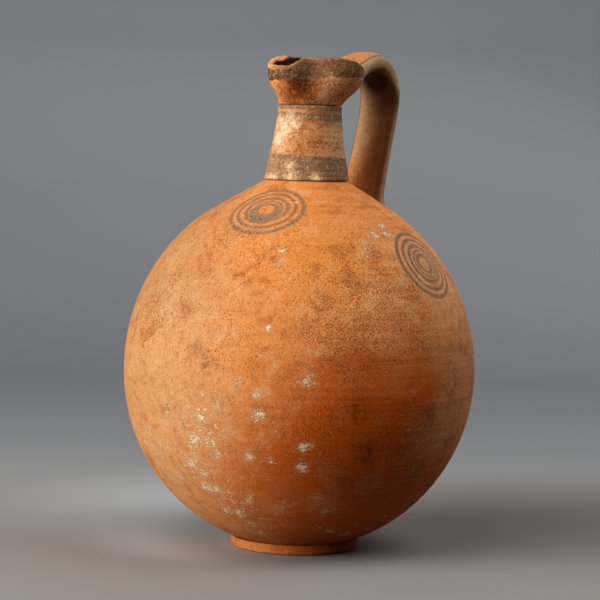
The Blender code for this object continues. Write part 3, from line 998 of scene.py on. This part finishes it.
# Painted bands: heights of their edges in millimetres
LOW_BAND_TOP = NECK_BASE / MM + 12.6
THIN_BAND_LOW = 214.3
THIN_BAND_TOP = 218.1
TOP_BAND_LOW = 218.7
RIM_BAND_LOW = MOUTH_BASE / MM + 12


def ring_paint(coat, azimuth, height, pooled):
    """Where one set of painted rings lies, with paint pooled between the inner rings low down."""
    centre = (on_body(azimuth, height * MM) + lean(height * MM)) / MM
    distance = coat.vector("DISTANCE", coat.place, centre) + coat.mottle(6, 3).swing(0.45)
    stops = []
    for radius, half in RING_STROKES:
        for edge, outer, inner in ((radius - half, 0, 1), (radius + half, 1, 0)):
            stops.append(((edge - RING_SOFTNESS) / RING_REACH, (outer, outer, outer, 1)))
            stops.append(((edge + RING_SOFTNESS) / RING_REACH, (inner, inner, inner, 1)))
    strokes = coat.ramp(coat.maths("DIVIDE", distance, RING_REACH), stops)
    low = coat.vector("DISTANCE", coat.place, centre - Vector((0, 0, POOL_DROP)))
    between = distance.step(POOL_INNER, POOL_INNER + 1) * distance.step(POOL_OUTER, POOL_OUTER - 0.6)
    return strokes.most(low.step(POOL_REACH, POOL_REACH - 3) * between * pooled)


def body_material():
    coat = Coat("orange slip on the body", SLIP_BRIGHT)
    side = coat.side()
    height = coat.height()
    clouds = coat.mottle(40, 3, 0.5)
    patches = coat.mottle(12, 6, 0.62, 0.6)
    blots = coat.mottle(4.2, 6, 0.7, 0.3, shift=80)
    fine = coat.mottle(1.5, 4, 0.7)
    dust = coat.mottle(0.7, 2, 0.6, shift=11)
    streak_place = coat.vector("MULTIPLY", coat.place, (0.03, 0.03, 1))
    streaks = coat.mottle(1.6, 4, 0.6, 0, streak_place)
    wide_streaks = coat.mottle(6.5, 3, 0.5, 0, streak_place)
    gritty = (coat.mark("grit") + (clouds.swing(0.5) + patches.swing(0.6))).step(0.05, 1)

    # Slip: pale to the left and deep red low down to the right, as painted light and painted shade; golden
    # in places, tan with a painted sheen at the right edge, with blots and a film
    drift = clouds.swing(30) + wide_streaks.swing(12)
    turned = side + drift
    below = turned - height.most(60) * 0.9
    under = (height - drift).step(132, 88)
    # Painted shade: deeper red low down toward the right, away from the key light
    shaded_red = below.step(-118, -38) * under
    # Painted light: paler slip on the lit left
    coat.lay(SLIP_PALE_LIT, turned.step(-4, -66))
    golden = coat.mark("gold") * patches.step(0.3, 0.5)
    coat.lay(SLIP_GOLD, golden)
    coat.lay(SLIP_SHADED_RED, shaded_red)
    # Tan at the right edge: a painted sheen of light from behind
    coat.lay(SLIP_TAN_AND_EDGE_SHEEN, turned.step(50, 76) * height.step(34, 62) * 0.75)
    coat.lay(SLIP_RUST, patches.step(0.5, 0.66) * 0.6)
    coat.lay(SLIP_BUFF, patches.step(0.46, 0.32) * 0.45 * shaded_red.step(0.9, 0.3))
    coat.lay(SLIP_RUST, blots.step(0.52, 0.66) * 0.4)
    coat.lay(SLIP_STAIN, coat.mark("stain") * blots.step(0.36, 0.56))
    haze = coat.mottle(14, 6, 0.72, 1, shift=140) + coat.mark("dust") * 0.3
    thinner = shaded_red.step(0.2, 1, 1, 0.45) * golden.step(0, 0.6, 1, 0.2)
    coat.lay(FILM, haze.step(0.5, 0.74) * thinner * 0.4)
    lines = 1 + streaks.swing(-0.42) * side.step(-10, 50, 0.3, 1)
    grain = 1 + dust.swing(0.8) * gritty.step(0, 1, 0.4, 1)
    coat.shade(SLIP_DEPTH, fine.step(0.3, 0.7, 1.08, 0.92), grain, lines)
    # Painted light and shade: lighter on the upper right shoulder and low on the left, darker on the upper
    # left shoulder
    shoulder = height.step(106, 132)
    painted_light_right = (shoulder * side.step(4, 40)).step(0, 1, 1, 1.16)
    painted_shade_left = (shoulder * side.step(-16, -50)).step(0, 1, 1, 0.88)
    painted_light_low_left = (height.step(90, 50) * side.step(-10, -45)).step(0, 1, 1, 1.16)
    coat.shade(painted_light_right, painted_shade_left, painted_light_low_left)

    # Painted rings, worn and thin in places
    paint = reduce(Value.most, [ring_paint(coat, *ring_set) for ring_set in RING_SETS])
    wear = coat.mottle(1.6, 5, 0.78).step(0.66, 0.52, 0.25, 1)
    thin = coat.mottle(9, 3).step(0.3, 0.55, 0.75, 1)
    coat.lay(RING_PAINT, paint * wear * thin)

    # Dark grit and pale flecks, then crust from the ground
    grit = coat.specks(0.75, gritty, 0.64).most(coat.specks(1.2, gritty, 0.7, 31))
    coat.lay(DARK_GRIT, grit * 0.55)
    flecks = coat.specks(0.8, gritty, 0.66, 57)
    coat.lay(SLIP_BUFF, flecks * shaded_red.step(0.2, 1, 0.55, 0.15))
    flat_place = coat.vector("MULTIPLY", coat.place, (1, 1, 1.6))
    flakes = coat.mottle(1.9, 6, 0.85, 0.6, flat_place)
    cover = coat.mark("crust") * 0.27 + flakes
    scatter = coat.mark("scatter") * 0.135 + coat.mottle(2.4, 5, 0.78, 0.8, flat_place, 90)
    crust = cover.step(0.69, 0.74).most(scatter.step(0.68, 0.72))
    coat.lay(FILM, cover.step(0.58, 0.8, 0, 0.38))
    coat.lay(PALE_CRUST, crust * dust.step(0.3, 0.5, 0.7, 1))
    relief = fine * 0.3 + streaks * 0.25 - grit * 0.8 + crust * 0.6
    coat.shader.inputs["Specular Tint"].default_value = WARM_GLOSS
    return coat.finish(patches.step(0.3, 0.7, 0.58, 0.72), 0.12, relief, 0.2)


def neck_material():
    coat = Coat("banded slip on the neck", NECK_ORANGE)
    height = coat.height()
    side = coat.side()
    crust_place = coat.mark("crust")
    grain = coat.mottle(0.9, 3, 0.7)
    lumps = coat.mottle(2.6, 7, 0.8, 0.4, shift=21)
    patches = coat.mottle(10, 4, 0.6, 0.4)
    rough = coat.mottle(9, 3, 0.5, shift=33).step(0.42, 0.58, 0.3, 1)
    coat.lay(NECK_RED, patches.step(0.42, 0.58))
    # Painted light: buff on the lit left, tan along the right edge
    coat.lay(NECK_LIT_BUFF, side.step(-3, -14) * 0.9)
    coat.lay(NECK_TAN_EDGE_LIGHT, side.step(7, 16) * 0.8)
    coat.lay(NECK_BROWN, lumps.step(0.5, 0.6) * rough * 0.75)
    coat.lay(SLIP_BRIGHT, lumps.step(0.46, 0.38) * rough * 0.5)

    # Painted bands whose edges wander, and a film on one side
    level = height + (coat.mottle(5, 4, 0.7).swing(0.8) + grain.swing(0.5)) + side * 0.04
    low_band = level.step(LOW_BAND_TOP, LOW_BAND_TOP - 0.8)
    thin_band = level.step(THIN_BAND_LOW, THIN_BAND_LOW + 0.9)
    thin_band = thin_band * level.step(THIN_BAND_TOP, THIN_BAND_TOP - 0.9)
    top_band = level.step(TOP_BAND_LOW, TOP_BAND_LOW + 0.8)
    paint = low_band.most(thin_band).most(top_band * 0.8)
    wear = coat.mottle(2.2, 6, 0.78, shift=17).step(0.62, 0.48, 0.5, 1)
    coat.lay(BAND_PAINT, paint * wear * side.step(-17, -11, 0.7, 1))
    coat.lay(BAND_DARK, paint * lumps.step(0.5, 0.62) * rough * 0.6)
    coat.lay(BAND_PAINT, level.step(209, 216) * side.step(2, 9) * patches.step(0.3, 0.5) * 0.6)
    streak_place = coat.vector("MULTIPLY", coat.place, (0.06, 0.06, 1))
    lines = coat.mottle(0.9, 3, 0.6, 0, streak_place).step(0.52, 0.7, 1.04, 0.84)
    coat.shade(SLIP_DEPTH, grain.step(0.3, 0.7, 0.84, 1.16), lines)

    # Dark grit and pale flecks, then crust
    cover = patches.step(0.35, 0.65)
    grit = coat.specks(1.1, cover, 0.62) * paint.step(0.2, 0.8, 1, 0.45)
    coat.lay(DARK_GRIT, grit * 0.6)
    flecks = coat.specks(1.0, cover + crust_place * 0.8, 0.69, 57)
    coat.lay(FILM, flecks * 0.7)
    cover = crust_place * 0.28 + coat.mottle(1.8, 6, 0.82, 0.5, shift=40)
    coat.lay(FILM, cover.step(0.54, 0.7, 0, 0.75))
    crust = cover.step(0.66, 0.74) * grain.step(0.3, 0.6, 0.4, 0.9)
    coat.lay(PALE_CRUST, crust)
    # Painted shade inside the bore
    coat.lay(INSIDE_SHADE, coat.mark("bore"))
    return coat.finish(0.78, 0.15, grain * 0.4 + lumps + crust * 0.4, 0.3)


def mouth_material():
    coat = Coat("brown slip on the mouth", MOUTH_RED)
    rise = coat.mark("rise")
    spout = coat.mark("spout")
    crust_place = coat.mark("crust")
    height = coat.height()
    side = coat.side()
    grain = coat.mottle(0.9, 3, 0.7)
    lumps = coat.mottle(2.4, 7, 0.8, 0.4, shift=21)
    patches = coat.mottle(8, 4, 0.6, 0.4)
    coat.lay(MOUTH_BROWN, patches.step(0.4, 0.6))
    # Painted light: orange on the lit left, and paler on the right, partly a pale film
    coat.lay(NECK_ORANGE, side.step(-4, -18) * 0.85)
    coat.lay(MOUTH_FILM_AND_LIGHT, side.step(2, 13) * 0.9)
    calm = side.step(-4, 10, 1, 0.5)
    coat.lay(MOUTH_BROWN, lumps.step(0.5, 0.6) * calm * 0.55)
    coat.lay(SLIP_BRIGHT, lumps.step(0.46, 0.38) * calm * 0.8)
    # Painted light: much lighter on the left, a little lighter on the right
    coat.shade(side.step(-6, -16, 1, 1.9), side.step(6, 14, 1, 1.12))

    # The painted rim, darker to the left and paler in the pinch, where the pale paint is also a painted
    # sheen
    level = height + (coat.mottle(5, 4, 0.7).swing(1.2) + grain.swing(0.7)) - side * 0.06
    band = level.step(RIM_BAND_LOW, RIM_BAND_LOW + 0.8)
    paint = coat.mix(side.step(-13, -4), RIM_DARK, RIM_PALE_SHEEN)
    paint = coat.mix(side.step(0, 9), paint, RIM_BROWN)
    wear = coat.mottle(2.6, 6, 0.78, shift=9).step(0.62, 0.46, 0.5, 1)
    coat.lay(paint, band * wear)
    coat.lay(BAND_DARK, band * lumps.step(0.48, 0.6) * 0.75)
    coat.shade(grain.step(0.3, 0.7, 0.66, 1))

    # Grit and flecks, the spout's lip worn bare, the inside darkened as painted shade, then crust
    cover = patches.step(0.35, 0.65)
    coat.lay(DARK_GRIT, coat.specks(1.0, cover, 0.59) * 0.6)
    flecks = coat.specks(1.0, cover + crust_place * 0.8, 0.69, 57)
    coat.lay(FILM, flecks * calm * 0.65)
    bare_clay = coat.mix(side.step(-8, -18), SLIP_BRIGHT, LIP_CREAM)
    bare = spout * (rise + lumps.swing(0.16)).step(0.925, 0.965)
    coat.lay(coat.mix(lumps.step(0.52, 0.62, 0, 0.8), bare_clay, NECK_RED), bare)
    # Painted shade inside the mouth
    coat.lay(INSIDE_SHADE, (rise - spout * 0.05).step(1.8, 1.96))
    cover = crust_place * 0.15 + coat.mottle(0.9, 4, 0.85, 0.5, shift=23)
    coat.lay(FILM, cover.step(0.6, 0.74, 0, 0.12))
    crust = cover.step(0.66, 0.7) * grain.step(0.35, 0.6, 0.2, 1)
    coat.lay(GOLD_CRUST, crust)
    # Painted shade in small pits that the mesh doesn't have
    coat.lay(PIT_SHADE, coat.mark("pit"))
    return coat.finish(0.78, 0.15, grain * 0.5 + lumps + crust * 0.4, 0.34)


def handle_material():
    coat = Coat("painted slip on the handle", HANDLE_SHADED_DEEP)
    over = coat.mark("across")
    across = coat.maths("ABSOLUTE", over)
    outward = coat.mark("outward")
    height = coat.height()
    grain = coat.mottle(0.8, 3, 0.7)
    fine = coat.mottle(2.2, 6, 0.75)
    patches = coat.mottle(10, 5, 0.6, 0.4)
    drift = over + patches.swing(0.5)

    # The inner face first, deep brown on its near side and pale on its far side as painted shade and
    # painted light, then the tan of the outer face over all else
    coat.lay(HANDLE_BROWN, drift.step(-0.75, 0.1))
    coat.lay(HANDLE_LIT_PALE, drift.step(0, 0.6) * 0.9)
    # The lower part more orange and lighter: partly its own colour, partly painted light
    lower = height.step(208, 190) * drift.step(-0.6, 0.5)
    coat.lay(HANDLE_ORANGE, lower * 0.85)
    coat.base = coat.mix(outward.step(0.55, 0.1), HANDLE_TAN, coat.base)
    coat.lay(NECK_BROWN, patches.step(0.5, 0.66) * 0.25)
    coat.lay(NECK_BROWN, fine.step(0.5, 0.68) * 0.2)

    # Paint along both edges, pale as a painted rim light on the outward side, with a darker line beside it
    level = across + coat.mottle(7, 4, 0.6).swing(0.05)
    edge = outward + height.step(226, 241, -0.15, 0.55)
    side_paint_and_rim_light = level.step(0.78, 0.86) * edge.step(-0.55, -0.15)
    wear = coat.mottle(3, 5, 0.75, shift=9).step(0.64, 0.48, 0.55, 1)
    coat.lay(SIDE_PAINT_AND_RIM_LIGHT, side_paint_and_rim_light * wear)
    line = level.step(0.72, 0.77) * level.step(0.86, 0.8) * outward.step(0, 0.2)
    inner_line = level.step(0.7, 0.8) * (outward.step(-0.75, -0.6) * outward.step(-0.25, -0.45))
    coat.lay(HANDLE_LINE, line.most(inner_line) * 0.55)
    coat.shade(grain.step(0.3, 0.7, 0.9, 1.1), fine.step(0.3, 0.7, 1.1, 0.9))
    # Painted light on the lower part
    coat.shade(lower.step(0, 0.8, 0.82, 1.16))
    coat.lay(NECK_BROWN, coat.specks(1.0, patches.step(0.35, 0.65), 0.66) * 0.3)
    coat.lay(FILM, (coat.mark("crust") * 0.65 + patches).step(0.66, 0.9, 0, 0.6))
    # Painted shade under the arch, with some soot
    coat.lay(UNDER_ARCH_SOOT_AND_SHADE, coat.mark("soot_and_shade") * edge.step(0.25, -0.35))
    return coat.finish(0.66, 0.2, grain * 0.3 + fine * 0.7, 0.2)


def foot_material():
    coat = Coat("bare clay of the foot", CLAY_EDGE)
    side = coat.side()
    grain = coat.mottle(0.7, 3, 0.7)
    patches = coat.mottle(9, 5, 0.6)
    coat.lay(ORANGE, patches.step(0.35, 0.65))
    # Painted shade: deeper red on the side away from the key light
    coat.lay(FOOT_SHADED_RED, side.step(-24, 8))
    coat.lay(NECK_BROWN, patches.step(0.5, 0.7) * 0.4)
    coat.shade(SLIP_DEPTH, grain.step(0.28, 0.72, 0.72, 1.24))
    coat.lay(DARK_GRIT, coat.specks(0.9, 0.5, 0.65) * 0.55)
    return coat.finish(0.82, 0.12, grain + patches * 0.6, 0.28)


# Studio

CAMERA_AZIMUTH = -45
STAGE_LIFT = -0.05 * MM
BOUNCE_GREY = colour(98, 96, 95)

# Tones of the paper by depth in metres, from under the jug back to the top of the backdrop, as painted
# light and shade: paler far back, to make up for the lamps' light falling off there
PAPER_TONES = (
    (0.0, colour(150, 144, 138)),
    (0.25, colour(154, 154, 154)),
    (0.45, colour(146, 147, 150)),
    (0.63, colour(132, 134, 138)),
    (0.87, colour(146, 149, 154)),
    (1.13, colour(160, 162, 165)),
    (1.36, colour(179, 183, 185)),
    (1.55, colour(189, 192, 197)),
)
PAPER_DEPTH = 1.6
BACKWARDS = Vector((0, 1, 0.6))

# Painted light and shadow on the paper beside the jug, two pools of light to the left and a painted shadow
# to the right: metres to the right, metres back, reach and tone
PAPER_LIGHT_AND_SHADOW = (
    (-0.045, 0.12, 0.17, colour(182, 183, 184)),
    (-0.045, -0.005, 0.07, colour(184, 182, 180)),
    (0.13, 0.09, 0.2, colour(124, 117, 108)),
)


def camera_turn():
    return Matrix.Rotation(radians(CAMERA_AZIMUTH), 4, "Z")


def paper_material():
    """Pale paper, shaded from the floor to the backdrop, that throws little light back under the jug."""
    paper = Coat("studio paper")
    depth = paper.vector("DOT_PRODUCT", paper.metres, camera_turn() @ BACKWARDS / PAPER_DEPTH)
    paper.base = paper.ramp(depth, [(distance / PAPER_DEPTH, tone) for distance, tone in PAPER_TONES])
    # Painted pools of light and a painted shadow
    for right, back, reach, tone in PAPER_LIGHT_AND_SHADOW:
        away = paper.vector("DISTANCE", paper.metres, camera_turn() @ Vector((right, back, 0)))
        paper.lay(tone, away.step(reach, 0))
    seen, glossy = (paper.node("ShaderNodeLightPath", ray) for ray in ("Is Camera Ray", "Is Glossy Ray"))
    paper.base = paper.mix(seen.most(glossy), BOUNCE_GREY, paper.base)
    return paper.finish(0.9, 0.1)


# The floor and the backdrop in metres: nearest and farthest edge, radius of the sweep, top and half width
STAGE_NEAR = -2.2
STAGE_FAR = 1.9
STAGE_BEND = 1.5
STAGE_TOP = 2.6
STAGE_HALF_WIDTH = 3.2
STAGE_STEPS = 48


def make_stage():
    """A floor that sweeps up into a backdrop, turned to face the camera."""
    profile = [(STAGE_NEAR, 0)]
    for step in range(STAGE_STEPS + 1):
        angle = pi / 2 * step / STAGE_STEPS
        profile.append((STAGE_FAR - STAGE_BEND + STAGE_BEND * sin(angle), STAGE_BEND * (1 - cos(angle))))
    profile.append((STAGE_FAR, STAGE_TOP))
    bm = bmesh.new()
    verts = [bm.verts.new((-STAGE_HALF_WIDTH, y, z + STAGE_LIFT)) for y, z in profile]
    edges = [bm.edges.new(pair) for pair in zip(verts, verts[1:])]
    extruded = bmesh.ops.extrude_edge_only(bm, edges=edges)["geom"]
    fresh = [item for item in extruded if isinstance(item, bmesh.types.BMVert)]
    bmesh.ops.translate(bm, verts=fresh, vec=(2 * STAGE_HALF_WIDTH, 0, 0))
    bmesh.ops.transform(bm, matrix=camera_turn(), verts=bm.verts)
    bmesh.ops.recalc_face_normals(bm, faces=bm.faces)
    floor = smooth_object("studio_floor", bm, paper_material())


LAMP_TARGET = Vector((0, 0, 0.11))
LAMP_DISTANCE = 1.15
LAMP_SIZE = 0.7

# Softboxes: turn from the camera in degrees, positive to its right, elevation in degrees, and watts
SOFTBOXES = {
    "key softbox": (-60, 11, 14.7),
    "high softbox": (-30, 60, 5.6),
    "right softbox": (76, 54, 5.0),
    "edge softbox": (140, 12, 1.8),
    "back softbox": (180, 38, 1.2),
}
ROOM_LIGHT = 0.032


def softbox(name, turn, elevation, watts):
    lamp = bpy.data.lights.new(name, "AREA")
    lamp.shape = "SQUARE"
    lamp.size = LAMP_SIZE
    lamp.energy = watts
    rise, side = radians(elevation), radians(turn)
    away = Vector((cos(rise) * sin(side), -cos(rise) * cos(side), sin(rise)))
    place = LAMP_TARGET + camera_turn() @ away * LAMP_DISTANCE
    aim = (LAMP_TARGET - place).to_track_quat("-Z", "Y").to_matrix().to_4x4()
    in_scene(name, lamp).matrix_world = Matrix.Translation(place) @ aim


def make_lights():
    for name, (turn, elevation, watts) in SOFTBOXES.items():
        softbox(name, turn, elevation, watts)
    world = bpy.data.worlds.new("studio room")
    bpy.context.scene.world = world
    world.use_nodes = True
    background = world.node_tree.nodes["Background"]
    background.inputs["Color"].default_value = (1, 1, 1, 1)
    background.inputs["Strength"].default_value = ROOM_LIGHT


# The camera that was fitted to the photograph, before it is turned round the jug: lens in millimetres,
# angles in degrees
FOCAL_LENGTH = 137.8
SENSOR_WIDTH = 36
CAMERA_PLACE = Vector((-0.43, -1150, 208.1)) * MM
CAMERA_PITCH = 90 - 4.18
CAMERA_ROLL = 1.52
FARTHEST_SEEN = 20


def make_camera():
    lens = bpy.data.cameras.new("photo camera")
    lens.lens = FOCAL_LENGTH
    lens.sensor_width = SENSOR_WIDTH
    lens.clip_end = FARTHEST_SEEN
    camera = in_scene("photo camera", lens)
    pitch = Matrix.Rotation(radians(CAMERA_PITCH), 4, "X")
    roll = Matrix.Rotation(radians(CAMERA_ROLL), 4, "Z")
    camera.matrix_world = camera_turn() @ Matrix.Translation(CAMERA_PLACE) @ pitch @ roll
    bpy.context.scene.camera = camera


def build():
    make_body(body_material())
    make_foot(foot_material())
    make_neck(neck_material())
    make_mouth(mouth_material())
    make_handle(handle_material())
    make_stage()
    make_lights()
    make_camera()
    bpy.context.scene.view_settings.view_transform = "Standard"


build()
